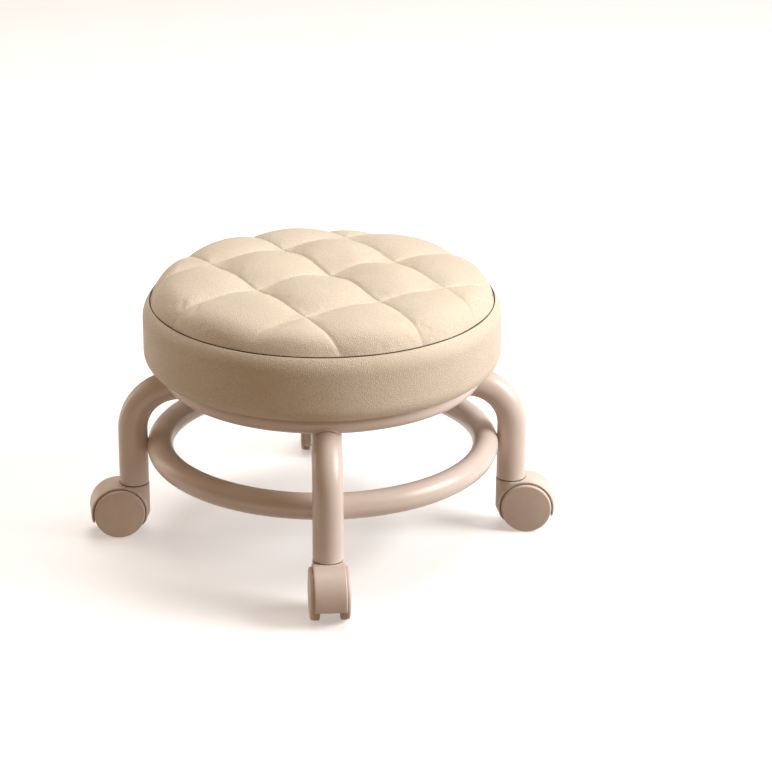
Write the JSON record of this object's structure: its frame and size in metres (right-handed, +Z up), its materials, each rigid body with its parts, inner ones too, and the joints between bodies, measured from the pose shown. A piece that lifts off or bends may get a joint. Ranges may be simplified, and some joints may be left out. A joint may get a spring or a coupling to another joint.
{
  "type": "stool",
  "caption": "Low round stool: quilted padded seat on a tube frame with bent legs, a foot ring and hooded twin-wheel swivel casters.",
  "frame": {"origin": "on the floor, under the centre of the round seat", "axes": "+Z up; -Y towards the front leg; +X towards the right leg"},
  "size_m": [0.4002, 0.3988, 0.2382],
  "materials": {
    "frame_coat": "semi-gloss powder coat",
    "leatherette": "soft satin, fine grain",
    "foam": "matt",
    "plywood": "raw",
    "dust_cloth": "matt",
    "hood_plastic": "satin",
    "wheel_plastic": "satin",
    "tyre": "matt",
    "black_plastic": "matt",
    "zinc_steel": "bright zinc"
  },
  "bodies": {
    "frame": {"foot_ring": "frame_coat", "seat_ring": "frame_coat", "seat_tabs": "frame_coat", "leg_end_plugs": "black_plastic", "stem_sockets": "black_plastic", "caster_stems": "zinc_steel", "grip_rings": "zinc_steel", "seat_board": "plywood", "seat_foam": "foam", "foam_edge_strip": "foam", "seat_cover_top": "leatherette", "seat_cover_band": "leatherette", "dust_cloth": "dust_cloth", "cover_staples": "zinc_steel", "t_nuts": "zinc_steel", "seat_bolts": "zinc_steel", "bolt_washers": "zinc_steel", "front_leg": "frame_coat", "right_leg": "frame_coat", "back_leg": "frame_coat", "left_leg": "frame_coat"},
    "front_caster": {"front_caster_hood": "hood_plastic", "front_caster_axle": "zinc_steel", "front_caster_axle_clips": "zinc_steel"},
    "front_wheel_1": {"front_caster_wheel_1": "wheel_plastic", "front_caster_tread_1": "tyre", "front_caster_cap_1": "hood_plastic"},
    "front_wheel_2": {"front_caster_wheel_2": "wheel_plastic", "front_caster_tread_2": "tyre", "front_caster_cap_2": "hood_plastic"},
    "right_caster": {"right_caster_hood": "hood_plastic", "right_caster_axle": "zinc_steel", "right_caster_axle_clips": "zinc_steel"},
    "right_wheel_1": {"right_caster_wheel_1": "wheel_plastic", "right_caster_tread_1": "tyre", "right_caster_cap_1": "hood_plastic"},
    "right_wheel_2": {"right_caster_wheel_2": "wheel_plastic", "right_caster_tread_2": "tyre", "right_caster_cap_2": "hood_plastic"},
    "back_caster": {"back_caster_hood": "hood_plastic", "back_caster_axle": "zinc_steel", "back_caster_axle_clips": "zinc_steel"},
    "back_wheel_1": {"back_caster_wheel_1": "wheel_plastic", "back_caster_tread_1": "tyre", "back_caster_cap_1": "hood_plastic"},
    "back_wheel_2": {"back_caster_wheel_2": "wheel_plastic", "back_caster_tread_2": "tyre", "back_caster_cap_2": "hood_plastic"},
    "left_caster": {"left_caster_hood": "hood_plastic", "left_caster_axle": "zinc_steel", "left_caster_axle_clips": "zinc_steel"},
    "left_wheel_1": {"left_caster_wheel_1": "wheel_plastic", "left_caster_tread_1": "tyre", "left_caster_cap_1": "hood_plastic"},
    "left_wheel_2": {"left_caster_wheel_2": "wheel_plastic", "left_caster_tread_2": "tyre", "left_caster_cap_2": "hood_plastic"}
  },
  "joints": [
    {"name": "front_caster_swivel", "type": "hinge", "parent": "frame", "child": "front_caster", "pos_m": [0, -0.161, 0.045], "axis": [0, 0, 1], "continuous": true},
    {"name": "front_wheel_1_spin", "type": "hinge", "parent": "front_caster", "child": "front_wheel_1", "pos_m": [0.00054, -0.17499, 0.0218], "axis": [0.9993, 0.0384, 0], "continuous": true},
    {"name": "front_wheel_2_spin", "type": "hinge", "parent": "front_caster", "child": "front_wheel_2", "pos_m": [0.00054, -0.17499, 0.0218], "axis": [0.9993, 0.0384, 0], "continuous": true},
    {"name": "right_caster_swivel", "type": "hinge", "parent": "frame", "child": "right_caster", "pos_m": [0.161, 0, 0.045], "axis": [0, 0, 1], "continuous": true},
    {"name": "right_wheel_1_spin", "type": "hinge", "parent": "right_caster", "child": "right_wheel_1", "pos_m": [0.17492, -0.00146, 0.0218], "axis": [0.1045, 0.9945, 0], "continuous": true},
    {"name": "right_wheel_2_spin", "type": "hinge", "parent": "right_caster", "child": "right_wheel_2", "pos_m": [0.17492, -0.00146, 0.0218], "axis": [0.1045, 0.9945, 0], "continuous": true},
    {"name": "back_caster_swivel", "type": "hinge", "parent": "frame", "child": "back_caster", "pos_m": [0, 0.161, 0.045], "axis": [0, 0, 1], "continuous": true},
    {"name": "back_wheel_1_spin", "type": "hinge", "parent": "back_caster", "child": "back_wheel_1", "pos_m": [0.00054, 0.17499, 0.0218], "axis": [-0.9993, 0.0384, 0], "continuous": true},
    {"name": "back_wheel_2_spin", "type": "hinge", "parent": "back_caster", "child": "back_wheel_2", "pos_m": [0.00054, 0.17499, 0.0218], "axis": [-0.9993, 0.0384, 0], "continuous": true},
    {"name": "left_caster_swivel", "type": "hinge", "parent": "frame", "child": "left_caster", "pos_m": [-0.161, 0, 0.045], "axis": [0, 0, 1], "continuous": true},
    {"name": "left_wheel_1_spin", "type": "hinge", "parent": "left_caster", "child": "left_wheel_1", "pos_m": [-0.17492, -0.00146, 0.0218], "axis": [0.1045, -0.9945, 0], "continuous": true},
    {"name": "left_wheel_2_spin", "type": "hinge", "parent": "left_caster", "child": "left_wheel_2", "pos_m": [-0.17492, -0.00146, 0.0218], "axis": [0.1045, -0.9945, 0], "continuous": true}
  ]
}
